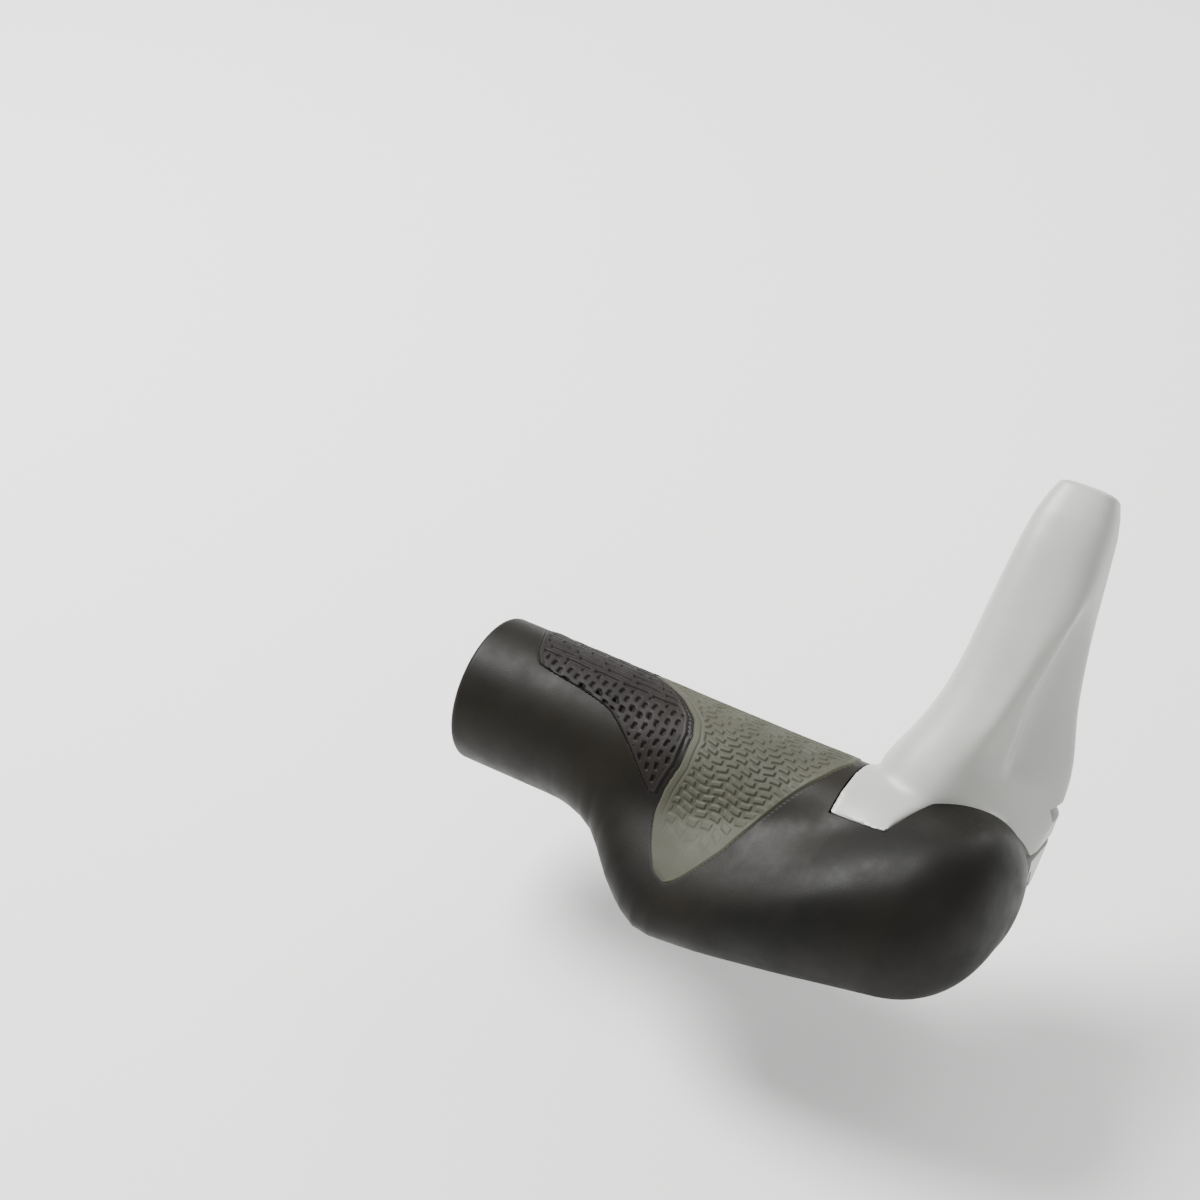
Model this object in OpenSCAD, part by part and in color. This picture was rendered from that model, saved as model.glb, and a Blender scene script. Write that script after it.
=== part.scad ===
// Ergonomic bicycle grip with a palm wing and a clamped bar end, right-hand side.
// Millimetres. X runs outboard along the handlebar, Y forward, Z up.
// The origin is on the handlebar axis at the inboard mouth of the grip.

/* [Handlebar] */
// radius of the hole in the sleeve, which slides over the handlebar
bar_bore_r = 11.2; // [11.18:0.01:11.3]
// radius of the hole in the clamp ring, which grips the handlebar
clamp_bore_r = 11.15; // [11.1:0.01:11.17]
// chamfer that leads the handlebar from the sleeve into the clamp ring
lead_in = 0.8; // [0.6:0.1:1]
// length of the hard inner sleeve
core_length = 87.2; // [80:0.2:87.2]
// outside radius of the hard inner sleeve
core_r = 12.9; // [12.4:0.1:13.2]
// how far the sleeve's keys stand out of it
key_height = 1.1; // [0.6:0.1:1.4]
// width of one key
key_width = 3; // [2:0.5:4]
// number of keys round the sleeve
key_count = 4; // [3:1:6]

/* [Rubber body] */
// overall length of the grip
grip_length = 126; // [124:0.5:128]
// where the outboard end starts to round off
dome_start = 108; // [104:0.5:110]
// how square the rounding of the outboard end is
dome_power = 2.6; // [2:0.1:3.4]
// rounding at the inboard mouth
mouth_round = 1; // [0.4:0.1:1.5]
// gap between the clamp ring and the rubber round it
ring_gap = 0.3; // [0.2:0.05:0.5]
// gap between the end of the clamp ring and the closed end of the rubber
end_gap = 1.5; // [1.3:0.1:2]
// lower edge of the opening for the bar end, as an angle from the top
opening_low = -161; // [-165:1:-158]
// rear edge of the opening for the bar end, as an angle from the top
opening_rear = 30; // [29:0.5:32]

/* [Inserts] */
// depth of the recesses that hold the two inserts
insert_depth = 1.5; // [1:0.1:1.8]
// how far the inserts stand out of the rubber
insert_proud = 0.3; // [0:0.1:0.6]
// gap round the edge of each insert
insert_gap = 0.1; // [0.05:0.05:0.2]

/* [Bar end] */
// inboard face of the clamp ring
ring_start = 87.5; // [87.5:0.1:88.4]
// outboard face of the clamp ring
ring_end = 117; // [114:0.5:117]
// outside radius of the clamp ring
ring_r = 14.4; // [14:0.1:14.4]
// length of the arm, from the bar axis to the tip
arm_length = 84; // [80:1:86]
// how square the arm's section is
arm_power = 3; // [2.4:0.1:3.4]
// depth of the hollow on the arm's outboard side
scoop_depth = 2; // [0:0.1:2.5]

/* [Clamp] */
// how far the slit slopes down towards the front
clamp_slope = 12; // [8:1:16]
// height of the middle of the slit over the bar axis
slit_height = 3; // [2:0.1:4]
// width of the slit
slit_width = 1.6; // [1.2:0.1:2]
// inboard side of the lug that the bolt goes through
lug_inboard = 103; // [102:0.5:104]
// outboard side of that lug
lug_outboard = 122; // [120:0.5:122.5]
// rounding of the lug's front corners
lug_round = 6.5; // [5:0.5:7]
// lower edge of the saddle, as an angle from the top
saddle_low = -100; // [-110:1:-95]
// where the bolt is along the bar
bolt_x = 112.5; // [111:0.5:113]
// distance of the bolt from the bar axis
bolt_reach = 19.5; // [19:0.5:20.5]
// radius of the bolt's shank
bolt_r = 2.5; // [2.4:0.05:2.5]
// radius of the bolt's head
bolt_head_r = 4.25; // [4:0.05:4.4]
// height of the bolt's head
bolt_head_height = 5; // [4.6:0.1:5]
// distance across the flats of the bolt's hexagon socket
bolt_socket = 4; // [3.8:0.1:4.2]
// length of the bolt's shank
bolt_length = 16; // [15:0.5:16.5]
// outside radius of the washer
washer_r = 5; // [4.8:0.1:5]
// thickness of the washer
washer_thickness = 1; // [0.8:0.1:1]
// distance across the square nut
nut_width = 8; // [7.8:0.1:8]
// thickness of the square nut
nut_thickness = 2.7; // [2.5:0.1:2.7]

/* [Hidden] */
$fn = 64;
tiny = 0.01;
// steps round the rubber body and round the arm
round_steps = 44;
arm_steps = 48;
// spacing of the sections along the rubber body, and the number of sections in its rounded end
section_step = 4;
dome_sections = 8;

// Shape of the rubber body. Each row is [distance along the bar, value there].
// radius where there is no wing
plain_radius = [[0, 16.5], [26, 16.4], [38, 16.2], [47, 16], [72, 15.9], [90, 16.2], [106, 16.6],
    [122, 17]];
// direction of the wing's tip, as an angle from the top towards the rear
wing_direction = [[0, 104], [26, 106], [38, 109], [57, 110], [72, 106], [90, 101], [106, 97], [122, 94]];
// how far the wing stands out of the plain radius
wing_reach = [[26, 0], [38, 4], [47, 14], [57, 21], [72, 20.5], [90, 18], [106, 14.6], [122, 10.5]];
// spread of the wing above its tip, and how sudden its edge is
upper_spread = [[26, 28], [38, 26], [47, 22], [57, 22], [72, 30], [90, 44], [106, 66], [122, 88]];
upper_power = [[57, 2], [72, 2.4], [90, 3]];
// the same below its tip
lower_spread = [[26, 24], [38, 22], [47, 18], [57, 16], [72, 17], [90, 20], [106, 26], [122, 36]];
lower_power = [[38, 2], [57, 2.5]];

// Outlines on the rubber's surface. Each row is [angle from the top, distance along the bar].
panel_inboard = [[-95, 30], [-70, 14], [-34, 8.5], [0, 12.5], [12, 15], [16, 26], [22, 34], [31, 38],
    [42, 42],
    [56, 46], [72, 50.5]];
pad_inboard = [[-95, 56], [-80, 44], [-60, 38], [-38, 36.5], [-27, 41], [-16, 46], [2, 51.5],
    [17, 53.5], [41, 54],
    [61, 52.6], [76, 52.2], [85, 53.2], [89, 55], [91.5, 58], [93, 60]];
pad_outboard = [[-95, 70], [-80, 80], [-50, 85], [-23, 86], [4, 83], [33, 78.3], [60, 74], [75, 71],
    [84, 67.3],
    [89, 64.5], [92, 62], [93, 61.4]];
opening_outboard = [[-165, 123.3], [-52, 123.3], [-44, 118], [-31, 112.8], [-24, 109.6], [-11, 105],
    [10, 102.5],
    [31, 100.4]];

// Shape of the arm. Each row is [distance from the bar axis, value there].
arm_inboard = [[0, 87.4], [17, 88.2], [22, 90.6], [30, 94], [40, 96], [48, 96.6], [70, 98], [80, 99.4],
    [84, 102]];
arm_outboard = [[0, 123.5], [17, 124.5], [24, 125.5], [30, 125], [38, 122.8], [46, 121], [60, 118],
    [75, 116],
    [80, 115.6], [84, 113]];
arm_half_depth = [[0, 20], [20, 17.5], [40, 11.5], [55, 9.8], [70, 8.6], [80, 7], [84, 4.5]];
// two flats on the arm's outboard side: direction from outboard towards the rear, and distance from its middle
bevel_angle = [[0, 54], [13, 53], [24, 31], [34, 34], [46, 36], [56, 45], [84, 45]];
bevel_reach = [[0, 14.6], [13, 13.9], [24, 8.6], [34, 8.5], [46, 9.4], [56, 11.6], [68, 13], [84, 13]];
face_angle = [[0, 29], [28, 26], [38, 21.8], [46, 15], [55, 7], [67, 2], [84, 0]];
face_reach = [[0, 16], [14, 12.5], [20, 9], [28, 7.8], [38, 7.3], [46, 8.1], [55, 9.2], [67, 10], [84, 10]];
// rear and front edges of the hollow in the outboard flat
scoop_rear = [[20, 4.5], [28, 5.6], [38, 6.6], [46, 5.4], [55, 6.2], [62, 5]];
scoop_front = [[20, -12], [28, -13.6], [38, -10.4], [46, -8.8], [55, -6.5], [62, 2]];
// how far the middle of the arm is in front of its line
arm_forward = [[0, 4], [20, 4], [40, 1], [55, 0]];

arm_face_angle = 45;
washer_low = slit_height - slit_width / 2 - 6;
lug_low = washer_low - bolt_head_height - 0.2;
nut_low = slit_height + slit_width / 2 + 3.2;
pocket_r = ring_r + ring_gap;
wall_start = ring_end + end_gap;

// a table's value, smoothed a little along the bar
function along(x, table) = (lookup(x - 4, table) + 2 * lookup(x, table) + lookup(x + 4, table)) / 4;

function wing_share(x, angle) =
    let (off = angle - along(x, wing_direction))
    off < 0
        ? exp(-pow(-off / along(x, upper_spread), along(x, upper_power)))
        : exp(-pow(off / along(x, lower_spread), along(x, lower_power)));

// how much of the section is left as the outboard end rounds off
function dome_share(x) =
    x <= dome_start ? 1
    : pow(max(1 - pow((x - dome_start) / (grip_length - dome_start), dome_power), 0), 1 / dome_power);

function skin_radius(x, angle) =
    (along(x, plain_radius) + along(x, wing_reach) * wing_share(x, angle)) * dome_share(x);

// a point at a radius and at an angle from the top towards the rear
function at(x, r, angle) = [x, -r * sin(angle), r * cos(angle)];

// side faces between two neighbouring rings of a stack
function ring_sides(first, count) =
    [for (j = [0 : count - 1])
        [first + j, first + count + j, first + count + (j + 1) % count, first + (j + 1) % count]];

// a solid through a stack of rings. cap lists the faces that close the first ring, and the last one likewise
module stack_of_rings(rings, cap) {
    count = len(rings[0]);
    last = (len(rings) - 1) * count;
    polyhedron(
        points = [for (ring = rings) each ring],
        faces = concat(
            cap,
            [for (i = [0 : len(rings) - 2]) each ring_sides(i * count, count)],
            [for (face = cap) [for (j = [len(face) - 1 : -1 : 0]) last + face[j]]]
        ),
        convexity = 8
    );
}

// a cap of one flat face
function flat_cap(count) = [[for (j = [0 : count - 1]) j]];

// a cap of one face for each column of a slab
function slab_cap(columns) =
    [for (k = [0 : columns - 1]) [k, k + 1, 2 * columns - k, 2 * columns + 1 - k]];

// one closed loop round the rubber body, at a distance along the bar
function skin_ring(x, shrink) =
    [for (j = [0 : round_steps - 1])
        let (angle = -150 + j * 360 / round_steps)
        at(x, skin_radius(x, angle) - shrink, angle)];

module rubber_skin() {
    plain = [for (x = [section_step : section_step : dome_start]) skin_ring(x, 0)];
    dome = [for (i = [1 : dome_sections])
        skin_ring(dome_start + (grip_length - dome_start) * sin(89 * i / dome_sections), 0)];
    stack_of_rings(concat(
        [skin_ring(0, mouth_round)],
        [skin_ring(0.3 * mouth_round, 0.3 * mouth_round)],
        [skin_ring(mouth_round, 0)],
        plain, dome
    ), flat_cap(round_steps));
}

// a curved slab between two outlines. Each row of span is
// [angle, inboard end, outboard end, inner radius, outer radius]
// with the radii relative to the rubber's surface when follow is 1 and absolute when it is 0
module slab(span, columns, follow) {
    stack_of_rings([for (row = span)
        let (xs = [for (k = [0 : columns]) row[1] + (row[2] - row[1]) * k / columns])
        concat(
            [for (x = xs) at(x, follow * skin_radius(x, row[0]) + row[3], row[0])],
            [for (k = [columns : -1 : 0]) at(xs[k], follow * skin_radius(xs[k], row[0]) + row[4], row[0])]
        )], slab_cap(columns));
}

function insert_span(first, last, step, inboard, outboard, grow, top) =
    [for (angle = [first : step : last])
        [angle, lookup(angle, inboard) - grow, lookup(angle, outboard) + grow, -insert_depth, top]];

module palm_pad_shape(grow, top) {
    step = (185 + 2 * grow) / 22;
    slab(insert_span(-93 - grow, 92 + grow, step, pad_inboard, pad_outboard, grow, top), 8, 1);
}

// the panel runs up to the pad, less a thin wall of rubber
panel_outboard = [for (row = pad_inboard) [row[0], row[1] - 0.8]];

module texture_panel_shape(grow, top) {
    step = (156 + 2 * grow) / 22;
    slab(insert_span(-88 - grow, 68 + grow, step, panel_inboard, panel_outboard, grow, top), 8, 1);
}

// the angles at which shapes in the opening are drawn, so that their edges stay side by side
function opening_angles(low, rear) = concat(
    [low],
    [for (angle = [opening_low : 3 : opening_rear]) if (angle > low + 1 && angle < rear - 1) angle],
    [rear]
);

// the wedge of space that the bar end passes through
module opening(low, rear, inboard, less, inner, outer) {
    slab([for (angle = opening_angles(low, rear))
        [angle, inboard, lookup(angle, opening_outboard) - less, inner, outer]], 1, 0);
}

// puts a shape drawn along Z onto the bar axis
module on_bar(x) {
    translate([x, 0, 0])
        rotate([0, 90, 0])
            children();
}

// the clamp's own frame: Y along the slit towards the front, Z across it
module on_clamp() {
    rotate([-clamp_slope, 0, 0])
        children();
}

module keys(grow) {
    for (i = [0 : key_count - 1])
        rotate([45 + i * 360 / key_count, 0, 0])
            translate([6 - grow, -key_width / 2 - grow, core_r - 1])
                cube([core_length - 12 + 2 * grow, key_width + 2 * grow, key_height + 1 + grow]);
}

module grip_core() {
    color([0.09, 0.09, 0.09])
        difference() {
            union() {
                on_bar(0)
                    cylinder(r = core_r, h = core_length);
                keys(0);
            }
            on_bar(-1)
                cylinder(r = bar_bore_r, h = core_length + 2);
            on_bar(core_length - lead_in)
                cylinder(r1 = bar_bore_r, r2 = bar_bore_r + lead_in, h = lead_in + tiny);
        }
}

module rubber_body() {
    color([0.17, 0.16, 0.14])
        difference() {
            rubber_skin();
            on_bar(-1)
                cylinder(r = core_r, h = core_length + 1.5);
            keys(0);
            on_bar(core_length)
                cylinder(r = pocket_r, h = wall_start - core_length);
            opening(opening_low, opening_rear, core_length, 0, pocket_r - 1, 70);
            palm_pad_shape(insert_gap, 6);
            texture_panel_shape(insert_gap, 6);
        }
}

module texture_panel() {
    color([0.11, 0.11, 0.11])
        texture_panel_shape(0, insert_proud);
}

module palm_pad() {
    color([0.46, 0.46, 0.4])
        palm_pad_shape(0, insert_proud);
}

// 0 at the first value, 1 at the second, and level at both
function ease(first, second, value) =
    let (part = min(max((value - first) / (second - first), 0), 1))
    part * part * (3 - 2 * part);

// depth of the hollow, at a distance along the arm and a place across its outboard flat
function scoop(s, place) =
    let (rear = along(s, scoop_rear), front = along(s, scoop_front))
    scoop_depth * ease(20, 27, s) * (1 - ease(52, 63, s))
        * ease(rear + 0.5, rear - 2.2, place) * pow(ease(front, rear, place), 0.7);

// distance from the middle of the arm to a flat
function flat_reach(reach, off_angle) = reach / max(cos(off_angle), 0.05);

// distance from the middle of the arm to its rounded-square side
function side_reach(half, depth, angle) =
    pow(pow(abs(cos(angle)) / half, arm_power) + pow(abs(sin(angle)) / depth, arm_power), -1 / arm_power);

function arm_point(s, angle) =
    let (
        inboard = along(s, arm_inboard),
        outboard = along(s, arm_outboard),
        off_face = angle - along(s, face_angle),
        side = side_reach((outboard - inboard) / 2, along(s, arm_half_depth), angle),
        bevel = flat_reach(along(s, bevel_reach), angle - along(s, bevel_angle)),
        face = flat_reach(along(s, face_reach), off_face),
        solid = pow(pow(side, -20) + pow(bevel, -20) + pow(face, -20), -1 / 20),
        reach = solid - (cos(off_face) > 0 ? scoop(s, solid * sin(off_face)) : 0),
        across = reach * sin(angle) - along(s, arm_forward)
    )
    [
        (inboard + outboard) / 2 + reach * cos(angle),
        5 + 0.69 * s - across * sin(arm_face_angle),
        -1 + 0.7 * s + across * cos(arm_face_angle)
    ];

function arm_ring(s) = [for (j = [0 : arm_steps - 1]) arm_point(s, 180 - j * 360 / arm_steps)];

module arm_solid() {
    places = concat([2, 8, 13], [for (s = [17 : 3 : 65]) s], [69, 73, 77, 80, 82.4, arm_length]);
    stack_of_rings([for (s = places) arm_ring(s)], flat_cap(arm_steps));
}

// the lug that the bolt goes through, below the slit
module lug() {
    straight = lug_outboard - lug_inboard - 2 * lug_round;
    on_clamp()
        translate([lug_inboard, 0, lug_low]) {
            cube([lug_outboard - lug_inboard, bolt_reach, slit_height - lug_low]);
            for (x = [lug_round, lug_round + straight])
                translate([x, bolt_reach, 0])
                    cylinder(r = lug_round, h = slit_height - lug_low);
            translate([lug_round, bolt_reach, 0])
                cube([straight, lug_round, slit_height - lug_low]);
        }
}

// the part of the bar end that lies in the rubber's opening, level with the rubber round it
module saddle() {
    slab([for (angle = opening_angles(saddle_low, opening_rear - 0.5))
        let (end = min(lookup(angle, opening_outboard) - ring_gap, ring_end))
        [angle, ring_start, end, -4, insert_proud]], 6, 1);
}

module clamp_cuts() {
    on_clamp() {
        translate([80, 8, slit_height - slit_width / 2])
            cube([50, 60, slit_width]);
        translate([bolt_x, bolt_reach, lug_low - 20]) {
            cylinder(r = bolt_r + 0.25, h = 20 - lug_low + nut_low + nut_thickness + 4);
            cylinder(r = washer_r + 0.2, h = 20 - lug_low + washer_low);
        }
        translate([bolt_x - nut_width / 2 - 0.15, bolt_reach - nut_width / 2 - 0.15, nut_low - 0.1])
            cube([nut_width + 0.3, 40, nut_thickness + 0.2]);
    }
}

module bar_end() {
    color([0.8, 0.8, 0.78])
        difference() {
            union() {
                intersection() {
                    arm_solid();
                    opening(opening_low + 12, opening_rear - 0.5, ring_start, ring_gap, core_r, 110);
                }
                on_bar(ring_start)
                    cylinder(r = ring_r, h = ring_end - ring_start);
                lug();
                saddle();
            }
            on_bar(80)
                cylinder(r = clamp_bore_r, h = 40);
            on_bar(ring_start - tiny)
                cylinder(r1 = clamp_bore_r + lead_in, r2 = clamp_bore_r, h = lead_in + tiny);
            on_bar(ring_end)
                cylinder(r = pocket_r + ring_gap, h = 20);
            clamp_cuts();
        }
}

module clamp_nut() {
    color([0.7, 0.7, 0.7])
        on_clamp()
            translate([bolt_x, bolt_reach, nut_low])
                difference() {
                    translate([-nut_width / 2, -nut_width / 2, 0])
                        cube([nut_width, nut_width, nut_thickness]);
                    translate([0, 0, -1])
                        cylinder(r = bolt_r + 0.05, h = nut_thickness + 2);
                }
}

module clamp_washer() {
    color([0.7, 0.7, 0.7])
        on_clamp()
            translate([bolt_x, bolt_reach, washer_low - washer_thickness])
                difference() {
                    cylinder(r = washer_r, h = washer_thickness - tiny);
                    translate([0, 0, -1])
                        cylinder(r = bolt_r + 0.08, h = washer_thickness + 2);
                }
}

module clamp_bolt() {
    color([0.15, 0.15, 0.16])
        on_clamp()
            translate([bolt_x, bolt_reach, washer_low - washer_thickness])
                difference() {
                    union() {
                        translate([0, 0, -1])
                            cylinder(r = bolt_r, h = bolt_length + 1);
                        translate([0, 0, -bolt_head_height])
                            cylinder(r = bolt_head_r, h = bolt_head_height - tiny);
                    }
                    translate([0, 0, -bolt_head_height - 1])
                        cylinder(r = bolt_socket / sqrt(3), h = 3.6, $fn = 6);
                }
}

grip_core();
rubber_body();
texture_panel();
palm_pad();
bar_end();
clamp_nut();
clamp_washer();
clamp_bolt();
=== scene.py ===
"""Ergonomic bicycle grip with a palm wing, two textured inserts and a clamped bar end."""

import math

import bmesh
import bpy
import numpy as np
from mathutils import Matrix, Vector


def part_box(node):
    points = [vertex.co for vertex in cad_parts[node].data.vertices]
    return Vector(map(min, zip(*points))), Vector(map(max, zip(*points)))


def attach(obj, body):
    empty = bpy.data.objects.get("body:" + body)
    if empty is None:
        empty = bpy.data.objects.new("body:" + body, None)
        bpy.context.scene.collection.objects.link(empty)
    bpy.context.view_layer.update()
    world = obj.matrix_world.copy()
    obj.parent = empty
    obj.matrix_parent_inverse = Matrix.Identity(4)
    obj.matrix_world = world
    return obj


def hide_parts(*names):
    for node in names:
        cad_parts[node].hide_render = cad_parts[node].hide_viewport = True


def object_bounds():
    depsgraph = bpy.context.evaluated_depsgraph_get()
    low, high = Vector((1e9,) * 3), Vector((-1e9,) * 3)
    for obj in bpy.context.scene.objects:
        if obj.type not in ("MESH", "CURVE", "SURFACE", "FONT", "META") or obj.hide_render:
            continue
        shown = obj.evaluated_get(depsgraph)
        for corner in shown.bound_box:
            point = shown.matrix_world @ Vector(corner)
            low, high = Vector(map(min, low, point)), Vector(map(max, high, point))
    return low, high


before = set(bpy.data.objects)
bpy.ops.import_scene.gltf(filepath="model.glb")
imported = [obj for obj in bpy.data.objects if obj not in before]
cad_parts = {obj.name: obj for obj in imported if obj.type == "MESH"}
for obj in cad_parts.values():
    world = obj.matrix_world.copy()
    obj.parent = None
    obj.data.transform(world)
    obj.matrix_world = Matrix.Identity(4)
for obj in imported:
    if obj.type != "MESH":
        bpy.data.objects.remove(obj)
cad_low, cad_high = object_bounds()

MM = 0.001

# ---------------------------------------------------------------- sizes, in millimetres

GRIP_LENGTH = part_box("rubber_body")[1].x / MM
DOME_START = GRIP_LENGTH - 18
DOME_POWER = 2.6
# Rounding of the inboard mouth: rows of (distance from the mouth, height against the full skin).
MOUTH_ROUNDING = [(0, -1.0), (0.12, -0.55), (0.3, -0.3), (0.6, -0.1), (1.0, 0)]

CORE_R = 12.9
BORE_R = 11.15
END_GAP = 1.5
RING_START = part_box("bar_end")[0].x / MM
RING_END = 117.0
RING_R = 14.4
GAP = 0.3
POCKET_R = RING_R + GAP
CORE_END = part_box("grip_core")[1].x / MM

CLAMP_SLOPE = 12.0
SLIT_HEIGHT = 3.0
SLIT_WIDTH = 1.6
BOLT_R = 2.5
BOLT_X = (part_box("clamp_bolt")[0].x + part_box("clamp_bolt")[1].x) / 2 / MM
BOLT_REACH = 19.5
WASHER_R = 5.0
WASHER_LOW = SLIT_HEIGHT - SLIT_WIDTH / 2 - 6
LUG_LOW = WASHER_LOW - 5.2
NUT_WIDTH = 8.0
NUT_THICKNESS = 2.7
NUT_LOW = SLIT_HEIGHT + SLIT_WIDTH / 2 + 3.2
LUG_INBOARD, LUG_OUTBOARD = 103.0, 122.0
LUG_ROUND = 6.5
# Opposite corners of two small cuts in the clamp: (distance along the bar, reach forward, height).
NUT_NOTCH = (119, 24, NUT_LOW), (130, 45, NUT_LOW + NUT_THICKNESS)
JAW_SLOT = (120.6, 15.3, -4.4), (124, 16.5, -0.9)

OPENING_LOW, OPENING_REAR = -161.0, 30.0
SADDLE_LOW = -100.0
SADDLE_ABOVE_SKIN = 0.25
SADDLE_BELOW_SKIN = 4

# Shape of the rubber body: rows of (distance along the bar, value there).
PLAIN_RADIUS = [(0, 16.5), (26, 16.4), (38, 16.2), (47, 16), (72, 15.9), (90, 16.2),
                (106, 16.6), (122, 17)]
WING_DIRECTION = [(0, 104), (26, 106), (38, 109), (57, 110), (72, 106), (90, 101),
                  (106, 97), (122, 94)]
WING_REACH = [(26, 0), (38, 4), (47, 14), (57, 21), (72, 20.5), (90, 18), (106, 14.6),
              (122, 10.5)]
UPPER_SPREAD = [(26, 28), (38, 26), (47, 22), (57, 22), (72, 30), (90, 44), (106, 66),
                (122, 88)]
UPPER_POWER = [(57, 2), (72, 2.4), (90, 3)]
LOWER_SPREAD = [(26, 24), (38, 22), (47, 18), (57, 16), (72, 17), (90, 20), (106, 26),
                (122, 36)]
LOWER_POWER = [(38, 2), (57, 2.5)]

# Outlines on the rubber: rows of (angle from the top towards the rear, distance along the bar).
PANEL_INBOARD = [(-95, 30), (-70, 14), (-34, 8.5), (0, 12.5), (12, 15), (16, 26), (22, 34),
                 (31, 38), (42, 42), (56, 46), (72, 50.5)]
PAD_INBOARD = [(-95, 56), (-80, 44), (-60, 38), (-38, 36.5), (-27, 41), (-16, 46), (2, 51.5),
               (17, 53.5), (41, 54), (61, 52.6), (76, 52.2), (82, 52.9), (86, 54), (89, 55.4),
               (91, 56.9), (92, 58), (93, 60)]
PAD_OUTBOARD = [(-95, 70), (-80, 80), (-50, 85), (-23, 86), (4, 83), (33, 78.3), (60, 74),
                (75, 71), (82, 68.4), (86, 66.6), (89, 65), (91, 63.5), (92, 62.5), (93, 60.6)]
PANEL_OUTBOARD = [(angle, x - 0.8) for angle, x in PAD_INBOARD]
OPENING_OUTBOARD = [(-165, 123.3), (-52, 123.3), (-44, 118), (-31, 112.8), (-24, 109.6),
                    (-11, 105), (10, 102.5), (31, 100.4)]

# Thickness of the two inserts' relief, against the skin of the rubber.
RECESS_DEPTH = 1.1
INSERT_BELOW_SKIN = 1.0
PAD_RIM_HEIGHT = 0.28
PAD_DASH_HEIGHT = 0.34
PANEL_HEIGHT = 0.18
PANEL_SLOT_DEPTH = 0.5
# Radii that turn an angle into a distance round the inserts.
PAD_RADIUS = 17.5
PANEL_RADIUS = 16.5

# Shape of the arm: rows of (distance from the bar axis, value there).
ARM_INBOARD = [(0, 87.4), (17, 88.2), (22, 90.6), (30, 94), (40, 96), (48, 96.6), (70, 98),
               (80, 99.4), (84, 102)]
ARM_OUTBOARD = [(0, 123.5), (17, 124.5), (24, 125.5), (30, 125), (38, 122.8), (46, 121),
                (60, 118), (75, 116), (80, 115.6), (84, 113)]
ARM_HALF_DEPTH = [(0, 20), (20, 17.5), (40, 11.5), (55, 9.8), (70, 8.6), (80, 7), (84, 4.5)]
# Two flats on its outboard side: direction from outboard towards the rear, and distance from
# the middle of the arm.
BEVEL_ANGLE = [(0, 54), (13, 53), (24, 31), (34, 34), (46, 36), (56, 45), (84, 45)]
BEVEL_REACH = [(0, 14.6), (13, 13.9), (24, 8.6), (34, 8.5), (46, 9.4), (56, 11.6), (68, 13),
               (84, 13)]
FACE_ANGLE = [(0, 29), (28, 26), (38, 21.8), (46, 15), (55, 7), (67, 2), (84, 0)]
FACE_REACH = [(0, 16), (14, 12.5), (20, 9), (28, 7.8), (38, 7.3), (46, 8.1), (55, 9.2),
              (67, 10), (84, 10)]
# The hollow in the outboard face lies between these two lines, measured across the face.
SCOOP_REAR = [(20, 4.5), (28, 5.6), (38, 6.6), (46, 5.4), (55, 6.2), (62, 5)]
SCOOP_FRONT = [(20, -12), (28, -13.6), (38, -10.4), (46, -8.8), (55, -6.5), (62, 2)]
SCOOP_DEPTH = 2.0
ARM_FORWARD = [(0, 4), (20, 4), (40, 1), (55, 0)]
ARM_POWER = 3.0
FLAT_POWER = 20.0
# The arm's middle line in the (forward, up) plane, and how far its sections are turned.
ARM_FOOT = (5, -1)
ARM_AHEAD = (0.69, 0.7)
ARM_TURN = 45
ARM_ROUND_START = 83.2
ARM_TIP_ROUND = 1.0

# The casting is remeshed in cubes of this size, then smoothed all over and where the arm joins.
VOXEL = 0.5
SMOOTH_ROUNDS = 4
FLOW_ROUNDS = 120


# ---------------------------------------------------------------- surface formulas

def lookup(x, table):
    """A table's value, in straight lines between its rows."""
    rows = np.array(table, float)
    return np.interp(x, rows[:, 0], rows[:, 1])


def along(x, table, spread=4):
    """A table's value, smoothed a little along the bar, as the CAD does it."""
    return (lookup(x - spread, table) + 2 * lookup(x, table) + lookup(x + spread, table)) / 4


def softly(x, table, spread):
    """A table's value with its corners rounded over a distance of spread each way."""
    steps = np.linspace(-1, 1, 9)
    weights = 1 - np.abs(steps) * 0.8
    return sum(w * lookup(x + spread * k, table) for k, w in zip(steps, weights)) / weights.sum()


def outline(angle, table):
    """A place on an insert's outline: its corners are rounded, less so at the rounded tip of the pad."""
    return softly(angle, table, np.clip((93.5 - angle) * 0.4, 0.2, 3))


def smoothstep(low, high, value):
    """Rises from 0 at low to 1 at high; low may be the larger of the two."""
    t = np.clip((value - low) / (high - low), 0, 1)
    return t * t * (3 - 2 * t)


def wing_share(x, angle):
    """How much of the wing's reach the skin has at an angle: 1 in the wing's own direction."""
    off = angle - along(x, WING_DIRECTION)
    upwards = np.maximum(-off, 0) / along(x, UPPER_SPREAD)
    downwards = np.maximum(off, 0) / along(x, LOWER_SPREAD)
    above = np.exp(-np.power(upwards, along(x, UPPER_POWER)))
    below = np.exp(-np.power(downwards, along(x, LOWER_POWER)))
    return np.where(off < 0, above, below)


def dome_share(x):
    """How much of its radius the skin keeps as it closes over the outboard end."""
    part = np.clip((x - DOME_START) / (GRIP_LENGTH - DOME_START), 0, 1)
    return np.power(np.maximum(1 - part ** DOME_POWER, 0), 1 / DOME_POWER)


def skin_radius(x, angle):
    """The rubber's outer surface, without the recesses for the inserts."""
    wing = along(x, WING_REACH) * wing_share(x, angle)
    return (along(x, PLAIN_RADIUS) + wing) * dome_share(x)


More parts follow.
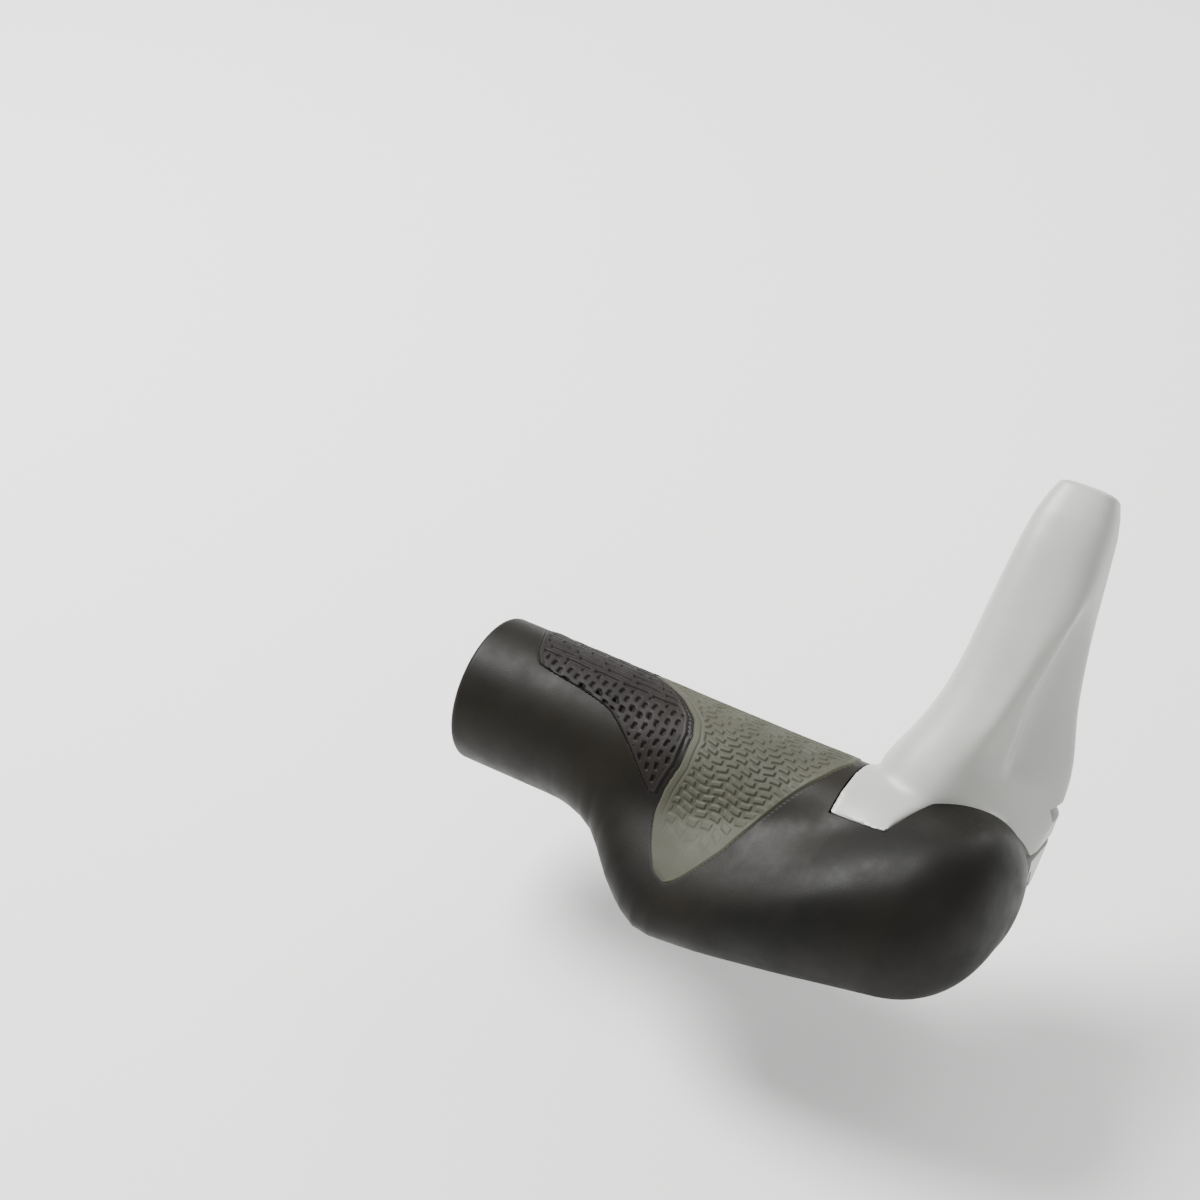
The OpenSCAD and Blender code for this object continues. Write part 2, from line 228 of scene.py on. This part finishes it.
def at(x, r, angle):
    """Points at radii and at angles from the top towards the rear."""
    a = np.radians(angle)
    x, r, a = np.broadcast_arrays(x, r, a)
    return np.stack([x, -r * np.sin(a), r * np.cos(a)], -1)


# ---------------------------------------------------------------- mesh helpers

def grid_faces(rows, columns, closed):
    """Quads of a grid of points; closed joins its last column to its first."""
    wide = columns if closed else columns - 1
    i, j = np.meshgrid(np.arange(rows - 1), np.arange(wide), indexing="ij")
    k = (j + 1) % columns
    low, high = i * columns, (i + 1) * columns
    return np.stack([low + j, low + k, high + k, high + j], -1).reshape(-1, 4)


def new_object(name, points, faces):
    """A mesh from points in millimetres."""
    mesh = bpy.data.meshes.new(name)
    places = (np.asarray(points, float).reshape(-1, 3) * MM).tolist()
    mesh.from_pydata(places, [], [list(map(int, f)) for f in faces])
    mesh.validate()
    mesh.update()
    obj = bpy.data.objects.new(name, mesh)
    bpy.context.scene.collection.objects.link(obj)
    return obj


def tidy_normals(obj):
    """Joins points that coincide and turns every face outwards."""
    bm = bmesh.new()
    bm.from_mesh(obj.data)
    bmesh.ops.remove_doubles(bm, verts=bm.verts, dist=1e-7)
    bmesh.ops.recalc_face_normals(bm, faces=bm.faces)
    bm.to_mesh(obj.data)
    bm.free()


def stack(name, rings):
    """A closed solid through a stack of rings, closed at both ends by a fan."""
    rings = np.asarray(rings, float)
    rows, count = rings.shape[:2]
    points = np.concatenate([rings.reshape(-1, 3), rings[0].mean(0)[None], rings[-1].mean(0)[None]])
    faces = [list(f) for f in grid_faces(rows, count, True)]
    first, last = rows * count, rows * count + 1
    for j in range(count):
        k = (j + 1) % count
        faces.append([first, k, j])
        faces.append([last, (rows - 1) * count + j, (rows - 1) * count + k])
    obj = new_object(name, points, faces)
    tidy_normals(obj)
    return obj


def box_between(name, low, high):
    """A box between two opposite corners."""
    low, high = np.array(low, float), np.array(high, float)
    corners = [[(low, high)[(k >> axis) & 1][axis] for axis in range(3)] for k in range(8)]
    faces = [(0, 2, 3, 1), (4, 5, 7, 6), (0, 1, 5, 4), (2, 6, 7, 3), (0, 4, 6, 2), (1, 3, 7, 5)]
    obj = new_object(name, corners, faces)
    tidy_normals(obj)
    return obj


def tube_solid(name, profile, steps=96):
    """A solid of revolution about X. profile is a list of (x, r) with both ends on the axis."""
    angles = np.linspace(0, 360, steps, endpoint=False)
    return stack(name, [at(x, max(r, 0.02), angles) for x, r in profile])


def put(obj, matrix):
    """Applies a placing matrix to a mesh."""
    obj.data.transform(matrix)
    obj.data.update()
    return obj


def boolean(target, tool, how):
    """Cuts, joins or intersects target with tool, and removes tool."""
    modifier = target.modifiers.new("cut", "BOOLEAN")
    modifier.operation = how
    modifier.solver = "EXACT"
    modifier.object = tool
    apply_modifiers(target)
    bpy.data.objects.remove(tool)
    return target


def apply_modifiers(obj):
    """Replaces an object's mesh by what its modifiers make of it."""
    graph = bpy.context.evaluated_depsgraph_get()
    mesh = bpy.data.meshes.new_from_object(obj.evaluated_get(graph))
    old = obj.data
    obj.modifiers.clear()
    obj.data = mesh
    bpy.data.meshes.remove(old)


def finish_mesh(obj, sharp_degrees=38):
    """Smooth shading with true edges kept sharp."""
    bm = bmesh.new()
    bm.from_mesh(obj.data)
    bmesh.ops.remove_doubles(bm, verts=bm.verts, dist=2e-6)
    bmesh.ops.dissolve_degenerate(bm, dist=1e-6, edges=bm.edges)
    limit = math.radians(sharp_degrees)
    for face in bm.faces:
        face.smooth = True
    for edge in bm.edges:
        edge.smooth = len(edge.link_faces) != 2 or edge.calc_face_angle(0) < limit
    bm.to_mesh(obj.data)
    bm.free()
    obj.data.update()
    return obj


CLAMP_TURN = Matrix.Rotation(math.radians(-CLAMP_SLOPE), 4, "X")


def on_clamp(obj, x, reach, height):
    """Places a shape drawn about the origin into the clamp's frame."""
    return put(obj, CLAMP_TURN @ Matrix.Translation(Vector((x, reach, height)) * MM))


def upright(name, profile, steps=64):
    """A solid of revolution about Z. profile is a list of (z, r)."""
    return put(tube_solid(name, profile, steps), Matrix.Rotation(math.radians(-90), 4, "Y"))


# ---------------------------------------------------------------- rubber body

def outline_distance(x, angle, inboard, outboard, low, high, radius=16.0):
    """How far inside an outline a point of the skin is, in millimetres; negative outside."""
    across = math.radians(1) * radius
    inner = x - outline(angle, inboard)
    outer = outline(angle, outboard) - x
    ends = np.minimum(angle - low, high - angle) * across
    return np.minimum(np.minimum(inner, outer), ends)


def pad_inside(x, angle):
    """How far inside the palm pad's outline a point is."""
    return outline_distance(x, angle, PAD_INBOARD, PAD_OUTBOARD, -93, 93, 24)


def panel_inside(x, angle):
    """How far inside the texture panel's outline a point is."""
    return outline_distance(x, angle, PANEL_INBOARD, PANEL_OUTBOARD, -88, 69)


def skin_with_recesses(x, angle):
    """The rubber's outer surface, lowered under the two inserts."""
    inside = np.maximum(pad_inside(x, angle), panel_inside(x, angle))
    return skin_radius(x, angle) - RECESS_DEPTH * smoothstep(0.15, 0.9, inside)


def rubber_skin():
    """The outside of the rubber body as one closed solid."""
    angles = np.linspace(-150, 210, 540, endpoint=False)
    rings = [at(x, skin_radius(x, angles) + drop, angles) for x, drop in MOUTH_ROUNDING]
    for x in np.arange(1.5, DOME_START, 0.5):
        rings.append(at(x, skin_with_recesses(x, angles), angles))
    for turn in np.linspace(0, 89.3, 60):
        x = DOME_START + (GRIP_LENGTH - DOME_START) * math.sin(math.radians(turn))
        rings.append(at(x, skin_radius(x, angles), angles))
    return stack("grip_rubber", rings)


def opening_wedge(low, rear, inboard, less, inner, outer, steps=120):
    """The space of the rubber's opening between two radii, its outboard border drawn in by less."""
    radii = np.array([inner, inner, outer, outer])
    rings = []
    for angle in np.linspace(low, rear, steps):
        far = softly(angle, OPENING_OUTBOARD, 2) - less
        rings.append(at(np.array([inboard, far, far, inboard]), radii, angle))
    return stack("wedge", rings)


def bar_cut(name, start, end, radius):
    """A round cut along the bar."""
    return tube_solid(name, [(start, 0), (start, radius), (end, radius), (end, 0)], 160)


def build_rubber():
    """The rubber body, with its opening, the pocket for the clamp ring and the sleeve's seat."""
    body = rubber_skin()
    opening = opening_wedge(OPENING_LOW, OPENING_REAR, CORE_END, 0, POCKET_R - 1, 70)
    boolean(body, opening, "DIFFERENCE")
    boolean(body, bar_cut("pocket", CORE_END, RING_END + END_GAP, POCKET_R), "DIFFERENCE")
    boolean(body, bar_cut("bore", -2, CORE_END + 1, CORE_R), "DIFFERENCE")
    return finish_mesh(body)


# ---------------------------------------------------------------- inserts

def dashes(x, arc, length, pitch, width, row_pitch, wave):
    """Height from 0 to 1 of staggered rows of short raised dashes that run along the bar."""
    arc = arc + wave * np.sin(2 * np.pi * x / 9.0)
    row = np.floor(arc / row_pitch)
    across = np.abs(arc / row_pitch - row - 0.5) * row_pitch
    place = x / pitch + 0.5 * np.mod(row, 2) + 0.13 * np.sin(row * 2.4)
    lengthways = np.abs(place - np.floor(place) - 0.5) * pitch
    return (1 - smoothstep(length / 2 - 0.25, length / 2 + 0.2, lengthways)) * (
        1 - smoothstep(width / 2 - 0.25, width / 2 + 0.2, across))


def insert_mesh(name, inboard, outboard, low, high, height, across_steps, around_steps):
    """A curved slab that follows the skin between two outlines, with its top set by height(x, angle)."""
    angles = np.linspace(low, high, around_steps)
    t = np.linspace(0, 1, across_steps)
    grid_angle, grid_t = np.meshgrid(angles, t, indexing="ij")
    start = outline(grid_angle, inboard)
    end = outline(grid_angle, outboard)
    x = start + (end - start) * grid_t
    top = skin_radius(x, grid_angle) + height(x, grid_angle)
    low_side = skin_radius(x, grid_angle) - INSERT_BELOW_SKIN
    outer, inner = at(x, top, grid_angle), at(x, low_side, grid_angle)
    rows, columns = x.shape
    size = rows * columns
    outer_faces = grid_faces(rows, columns, False)
    inner_faces = outer_faces[:, ::-1] + size
    rim = []
    for i in range(rows - 1):
        rim.append((i * columns, (i + 1) * columns, size + (i + 1) * columns, size + i * columns))
        a = i * columns + columns - 1
        rim.append((a, size + a, size + a + columns, a + columns))
    for j in range(columns - 1):
        rim.append((j, size + j, size + j + 1, j + 1))
        a = (rows - 1) * columns + j
        rim.append((a, a + 1, size + a + 1, size + a))
    faces = [tuple(f) for f in outer_faces] + [tuple(f) for f in inner_faces] + rim
    obj = new_object(name, np.concatenate([outer.reshape(-1, 3), inner.reshape(-1, 3)]), faces)
    tidy_normals(obj)
    return finish_mesh(obj, 50)


def pad_height(x, angle):
    """A smooth rim with a fine groove, round rows of wavy raised dashes that join at the top."""
    inboard = x - outline(angle, PAD_INBOARD)
    inside = np.minimum(pad_inside(x, angle), (91 - angle) * 0.28)
    rim = np.minimum(inboard - 2.6, inside - 0.5)
    edge = -0.45 * (1 - smoothstep(0, 0.8, pad_inside(x, angle)))
    groove = -0.16 * np.exp(-np.power((inboard - 2.1) / 0.22, 2))
    groove = groove * smoothstep(-80, -40, -np.abs(angle - 10))
    arc = np.radians(angle) * PAD_RADIUS
    floor = smoothstep(0.2, 0.8, rim)
    fade = smoothstep(0.3, 3.5, inside) * (1 - 0.75 * smoothstep(58, 84, angle))
    long_rows = smoothstep(-8, -22, angle)
    short = dashes(x, arc, length=2.3, pitch=3.3, width=1.15, row_pitch=1.75, wave=0.42)
    long = dashes(x, arc, length=9, pitch=10, width=0.95, row_pitch=1.75, wave=0.2)
    relief = PAD_DASH_HEIGHT * np.maximum(short, long_rows * long) - PAD_RIM_HEIGHT
    return PAD_RIM_HEIGHT + edge + groove + floor * fade * relief


def panel_height(x, angle):
    """Staggered short slots that run round the grip, and long grooves along it towards the top."""
    inside = panel_inside(x, angle)
    edge = -0.36 * (1 - smoothstep(0, 0.8, inside))
    lip = 0.1 * np.exp(-np.power((inside - 0.75) / 0.3, 2))
    arc = np.radians(angle) * PANEL_RADIUS
    top = smoothstep(2, -4, angle)
    slots = dashes(arc, x, length=1.5, pitch=2.7, width=0.75, row_pitch=2.1, wave=0.25)
    grooves = dashes(x, arc, length=6, pitch=7.2, width=0.8, row_pitch=2.0, wave=0.12)
    bars = smoothstep(0.3, 0.7, np.sin(x * 1.1) * 0.5 + 0.5)
    floor = smoothstep(1.2, 1.8, inside)
    cut = PANEL_SLOT_DEPTH * ((1 - top) * slots + top * grooves)
    return PANEL_HEIGHT + edge + lip + floor * (-0.06 * bars - cut)


# ---------------------------------------------------------------- bar end

def arm_ring(s, angle):
    """One section of the arm at a distance from the bar axis; angles run from outboard to rear."""
    middle = (along(s, ARM_INBOARD) + along(s, ARM_OUTBOARD)) / 2
    half = (along(s, ARM_OUTBOARD) - along(s, ARM_INBOARD)) / 2
    depth = along(s, ARM_HALF_DEPTH)
    a = np.radians(angle)
    wide = np.power(np.abs(np.cos(a)) / half, ARM_POWER)
    deep = np.power(np.abs(np.sin(a)) / depth, ARM_POWER)
    side = np.power(wide + deep, -1 / ARM_POWER)
    towards_bevel = a - math.radians(along(s, BEVEL_ANGLE))
    towards_face = a - math.radians(along(s, FACE_ANGLE))
    bevel = along(s, BEVEL_REACH) / np.maximum(np.cos(towards_bevel), 0.05)
    face = along(s, FACE_REACH) / np.maximum(np.cos(towards_face), 0.05)
    reach = np.power(side ** -FLAT_POWER + bevel ** -FLAT_POWER + face ** -FLAT_POWER, -1 / FLAT_POWER)
    reach = reach - scoop(s, reach * np.sin(towards_face)) * (np.cos(towards_face) > 0)
    across = reach * np.sin(a) - along(s, ARM_FORWARD)
    out = reach * np.cos(a)
    turn = math.radians(ARM_TURN)
    forward = ARM_FOOT[0] + ARM_AHEAD[0] * s - across * math.sin(turn)
    up = ARM_FOOT[1] + ARM_AHEAD[1] * s + across * math.cos(turn)
    return np.stack([middle + out, forward, up], -1)


def scoop(s, place):
    """Depth of the hollow in the arm's outboard face: steep at the rear, running out forwards."""
    rear, front = along(s, SCOOP_REAR), along(s, SCOOP_FRONT)
    length = smoothstep(20, 27, s) * (1 - smoothstep(52, 63, s))
    across = smoothstep(rear + 0.5, rear - 2.2, place) * smoothstep(front, rear, place) ** 0.7
    return SCOOP_DEPTH * length * across


def arm_solid():
    """The arm from inside the clamp ring to its rounded tip."""
    angles = np.linspace(180, -180, 360, endpoint=False)
    steps = np.concatenate([np.arange(2, 78, 0.6), np.arange(78, ARM_ROUND_START, 0.4)])
    rings = [arm_ring(s, angles) for s in steps]
    tip = arm_ring(ARM_ROUND_START, angles)
    centre = tip.mean(0)
    ahead = np.array([0, *ARM_AHEAD]) * ARM_TIP_ROUND
    for turn in np.linspace(0, 85, 10)[1:]:
        t = math.radians(turn)
        rings.append(centre + (tip - centre) * math.cos(t) + ahead * math.sin(t))
    return stack("arm", rings)


def saddle_solid():
    """The part of the casting that fills the opening, level with the rubber."""
    rings = []
    for angle in np.linspace(SADDLE_LOW, OPENING_REAR - 0.5, 160):
        far = min(softly(angle, OPENING_OUTBOARD, 2) - GAP, RING_END)
        x = np.linspace(RING_START, far, 24)
        skin = skin_radius(x, angle)
        outer = at(x, skin + SADDLE_ABOVE_SKIN, angle)[::-1]
        rings.append(np.concatenate([at(x, skin - SADDLE_BELOW_SKIN, angle), outer]))
    return stack("saddle", rings)


def rounded_lug():
    """The lug below the slit, with rounded front corners and a softened lower edge."""
    border = [(LUG_INBOARD, 0), (LUG_OUTBOARD, 0)]
    for centre, first in ((LUG_OUTBOARD - LUG_ROUND, 0), (LUG_INBOARD + LUG_ROUND, 90)):
        for k in range(13):
            a = math.radians(first + 90 * k / 12)
            border.append((centre + LUG_ROUND * math.cos(a), BOLT_REACH + LUG_ROUND * math.sin(a)))
    border = np.array(border)
    half = 12  # roughly half the lug's width
    levels = [(LUG_LOW, 0.8), (LUG_LOW + 0.25, 0.3), (LUG_LOW + 0.8, 0), (SLIT_HEIGHT, 0)]
    middle = border.mean(0)
    rings = []
    for z, inset in levels:
        shrunk = middle + (border - middle) * (1 - inset / half)
        rings.append(np.column_stack([shrunk, np.full(len(shrunk), z)]))
    return on_clamp(stack("lug", rings), 0, 0, 0)


def soften(arm):
    """Smooths the casting a little all over, and more where the arm flows into the saddle."""
    x, y, z = np.array([v.co for v in arm.data.vertices]).T / MM
    angle = np.degrees(np.arctan2(-y, z))
    r = np.hypot(y, z)
    inner = smoothstep(RING_START + 1.8, RING_START + 4.5, x) * smoothstep(116, 108, x)
    flow = inner * smoothstep(26.5, 21, angle) * smoothstep(SADDLE_LOW + 15, SADDLE_LOW + 30, angle)
    flow = flow * smoothstep(12, 15, r) * smoothstep(34, 26, r)
    group = arm.vertex_groups.new(name="flow")
    for index in np.nonzero(flow > 0.01)[0]:
        group.add([int(index)], float(flow[index]), "REPLACE")
    for name, rounds in (("", SMOOTH_ROUNDS), ("flow", FLOW_ROUNDS)):
        smooth = arm.modifiers.new("smooth", "SMOOTH")
        smooth.factor = 0.5
        smooth.iterations = rounds
        smooth.vertex_group = name
    apply_modifiers(arm)


def cast_blank():
    """Arm, ring, saddle and lug as one casting, before anything is cut."""
    arm = arm_solid()
    room = opening_wedge(OPENING_LOW + 12, OPENING_REAR - 0.5, RING_START, GAP, 2, 110)
    boolean(arm, room, "INTERSECT")
    ring = tube_solid("ring", [(RING_START, 0), (RING_START, RING_R - 0.4), (RING_START + 0.4, RING_R),
                               (RING_END - 0.5, RING_R), (RING_END, RING_R - 0.5), (RING_END, 0)], 160)
    for part in (ring, saddle_solid(), rounded_lug()):
        boolean(arm, part, "UNION")
    remesh = arm.modifiers.new("remesh", "REMESH")
    remesh.mode = "VOXEL"
    remesh.voxel_size = VOXEL * MM
    apply_modifiers(arm)
    soften(arm)
    return arm


def bolt_hole():
    """The counterbore for the head and washer, and the clearance hole for the shank."""
    low, high = LUG_LOW - 20, NUT_LOW + NUT_THICKNESS + 4
    head, shank = WASHER_R + 0.2, BOLT_R + 0.25
    profile = [(low, 0), (low, head), (WASHER_LOW, head), (WASHER_LOW, shank), (high, shank), (high, 0)]
    return on_clamp(upright("shank_hole", profile), BOLT_X, BOLT_REACH, 0)


def build_bar_end():
    """The casting with its bore, slit, bolt hole, nut pocket and small notches."""
    arm = cast_blank()
    boolean(arm, bar_cut("bar", 60, 121, BORE_R), "DIFFERENCE")
    boolean(arm, bar_cut("end_wall", RING_END, 140, POCKET_R + GAP), "DIFFERENCE")
    slit = (80, 8, SLIT_HEIGHT - SLIT_WIDTH / 2), (130, 68, SLIT_HEIGHT + SLIT_WIDTH / 2)
    boolean(arm, on_clamp(box_between("slit", *slit), 0, 0, 0), "DIFFERENCE")
    boolean(arm, bolt_hole(), "DIFFERENCE")
    half = NUT_WIDTH / 2 + 0.15
    pocket = ((BOLT_X - half, BOLT_REACH - half, NUT_LOW - 0.1),
              (BOLT_X + half, BOLT_REACH + 36, NUT_LOW + NUT_THICKNESS + 0.1))
    for name, corners in (("nut_pocket", pocket), ("notch", NUT_NOTCH), ("jaw_slot", JAW_SLOT)):
        boolean(arm, on_clamp(box_between(name, *corners), 0, 0, 0), "DIFFERENCE")
    arm.name = "bar_end_arm"
    return finish_mesh(arm)


# ---------------------------------------------------------------- materials

def material(name, build=None, **sockets):
    """A material with uniform values on the shader's sockets, and build to link the others."""
    made = bpy.data.materials.new(name)
    made.use_nodes = True
    nodes, links = made.node_tree.nodes, made.node_tree.links
    shader = nodes["Principled BSDF"]
    for socket, value in sockets.items():
        shader.inputs[socket.replace("_", " ")].default_value = value
    if build:
        build(nodes, links, shader)
    return made


def noise(nodes, links, scale, detail):
    """A noise value over the object."""
    where = nodes.new("ShaderNodeTexCoord")
    made = nodes.new("ShaderNodeTexNoise")
    made.inputs["Scale"].default_value = scale
    made.inputs["Detail"].default_value = detail
    made.inputs["Roughness"].default_value = 0.55
    links.new(where.outputs["Object"], made.inputs["Vector"])
    return made.outputs["Fac"]


def spread(nodes, links, value, low, high):
    """Maps a noise value to the range low to high."""
    made = nodes.new("ShaderNodeMapRange")
    made.inputs["From Min"].default_value = 0.3
    made.inputs["From Max"].default_value = 0.7
    made.inputs["To Min"].default_value = low
    made.inputs["To Max"].default_value = high
    links.new(value, made.inputs["Value"])
    return made.outputs["Result"]


def ramp(nodes, links, value, dark, light):
    """Mixes two colours by a value from 0 to 1."""
    made = nodes.new("ShaderNodeMix")
    made.data_type = "RGBA"
    made.inputs[6].default_value = (*dark, 1)
    made.inputs[7].default_value = (*light, 1)
    links.new(value, made.inputs[0])
    return made.outputs[2]


def bump(nodes, links, shader, heights, distance):
    """A fine grain on the shader's normal."""
    made = nodes.new("ShaderNodeBump")
    made.inputs["Strength"].default_value = 0.35
    made.inputs["Distance"].default_value = distance
    links.new(heights, made.inputs["Height"])
    links.new(made.outputs["Normal"], shader.inputs["Normal"])


def moulded(dark, light, rough_low, rough_high, grain, depth):
    """A moulded surface: cloudy colour, uneven gloss and a fine grain."""
    def build(nodes, links, shader):
        cloud = spread(nodes, links, noise(nodes, links, 38, 3), 0, 1)
        gloss = spread(nodes, links, noise(nodes, links, 130, 4), rough_low, rough_high)
        links.new(ramp(nodes, links, cloud, dark, light), shader.inputs["Base Color"])
        links.new(gloss, shader.inputs["Roughness"])
        bump(nodes, links, shader, noise(nodes, links, grain, 2), depth)
    return build


RUBBER = material("body_rubber",
                  moulded((0.0036, 0.0037, 0.0034), (0.009, 0.0074, 0.0046), 0.42, 0.58, 2600, 0.00006),
                  Specular_IOR_Level=0.17)
PANEL = material("panel_rubber",
                 moulded((0.006, 0.0046, 0.004), (0.0115, 0.0088, 0.0074), 0.5, 0.66, 2400, 0.00005),
                 Specular_IOR_Level=0.2)
PAD = material("pad_rubber",
               moulded((0.04, 0.0405, 0.028), (0.058, 0.058, 0.04), 0.52, 0.66, 2200, 0.00005),
               Specular_IOR_Level=0.25)
PAINT = material("bar_end_paint",
                 moulded((0.37, 0.375, 0.355), (0.43, 0.43, 0.4), 0.34, 0.46, 1500, 0.00003),
                 Coat_Weight=0.15, Coat_Roughness=0.3)
CORE = material("core_plastic",
                moulded((0.012, 0.012, 0.012), (0.022, 0.022, 0.021), 0.4, 0.55, 1600, 0.00004))
STEEL = material("plated_steel",
                 moulded((0.48, 0.48, 0.49), (0.62, 0.62, 0.63), 0.25, 0.42, 3000, 0.00002),
                 Metallic=1.0)
BLACK_STEEL = material("black_steel",
                       moulded((0.02, 0.02, 0.022), (0.045, 0.045, 0.048), 0.32, 0.5, 2600, 0.00002))


def dress(obj, made):
    """Gives an object its one material."""
    obj.data.materials.clear()
    obj.data.materials.append(made)
    return obj


def stand_in(obj, node, body, made):
    """Puts a finer mesh in the place of a CAD node, riding on the node's body."""
    dress(obj, made)
    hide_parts(node)
    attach(obj, body)
    return obj


# ---------------------------------------------------------------- pieces

stand_in(build_rubber(), "rubber_body", "grip", RUBBER)
stand_in(insert_mesh("palm_pad_insert", PAD_INBOARD, PAD_OUTBOARD, -93, 92.8, pad_height,
                     across_steps=260, around_steps=440), "palm_pad", "grip", PAD)
stand_in(insert_mesh("texture_panel_insert", PANEL_INBOARD, PANEL_OUTBOARD, -88, 68, panel_height,
                     across_steps=240, around_steps=340), "texture_panel", "grip", PANEL)
stand_in(build_bar_end(), "bar_end", "bar_end_body", PAINT)
for node, made in (("grip_core", CORE), ("clamp_nut", STEEL), ("clamp_washer", STEEL),
                   ("clamp_bolt", BLACK_STEEL)):
    dress(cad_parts[node], made)


# ---------------------------------------------------------------- stage

FLOOR_DROP = 0.03
FLOOR_HALF = 3.0

floor_z = cad_low.z - FLOOR_DROP
corners = [[x * FLOOR_HALF / MM, y * FLOOR_HALF / MM, floor_z / MM]
           for x, y in ((-1, -1), (1, -1), (1, 1), (-1, 1))]
floor = new_object("floor", corners, [(0, 1, 2, 3)])
dress(floor, material("floor_paper", Base_Color=(0.92, 0.92, 0.91, 1), Roughness=0.9))


def soft_light(name, place, aim, size, power):
    """A round area light that faces a point."""
    light = bpy.data.lights.new(name, "AREA")
    light.shape = "DISK"
    light.size = size
    light.energy = power
    obj = bpy.data.objects.new(name, light)
    bpy.context.scene.collection.objects.link(obj)
    obj.location = place
    obj.rotation_euler = (Vector(aim) - Vector(place)).to_track_quat("-Z", "Y").to_euler()


middle = (cad_low + cad_high) / 2
soft_light("key", middle + Vector((-0.5, 0.05, 0.65)), middle, 0.45, 15)
soft_light("fill", middle + Vector((0.8, -0.5, 0.45)), middle, 0.8, 1.5)
soft_light("back", middle + Vector((0.1, 0.9, 0.5)), middle, 0.8, 5)

world = bpy.data.worlds.new("studio")
bpy.context.scene.world = world
world.use_nodes = True
world.node_tree.nodes["Background"].inputs["Color"].default_value = (1, 1, 1, 1)
world.node_tree.nodes["Background"].inputs["Strength"].default_value = 0.8

# The camera looks forward, inboard and down at the right-hand grip.
CAMERA_YAW = 32.0
CAMERA_PITCH = 40.0
CAMERA_DISTANCE = 0.531
CAMERA_LENS = 72.0
CAMERA_AIM = Vector((0.0137, 0.0232, 0.0147))

camera_data = bpy.data.cameras.new("camera")
camera_data.lens = CAMERA_LENS
camera_data.sensor_width = 36.0
camera_data.clip_start = 0.01
camera = bpy.data.objects.new("camera", camera_data)
bpy.context.scene.collection.objects.link(camera)
yaw, pitch = math.radians(CAMERA_YAW), math.radians(CAMERA_PITCH)
ahead = Vector((-math.sin(yaw) * math.cos(pitch), math.cos(yaw) * math.cos(pitch), -math.sin(pitch)))
camera.location = CAMERA_AIM - ahead * CAMERA_DISTANCE
camera.rotation_euler = ahead.to_track_quat("-Z", "Y").to_euler()
bpy.context.scene.camera = camera
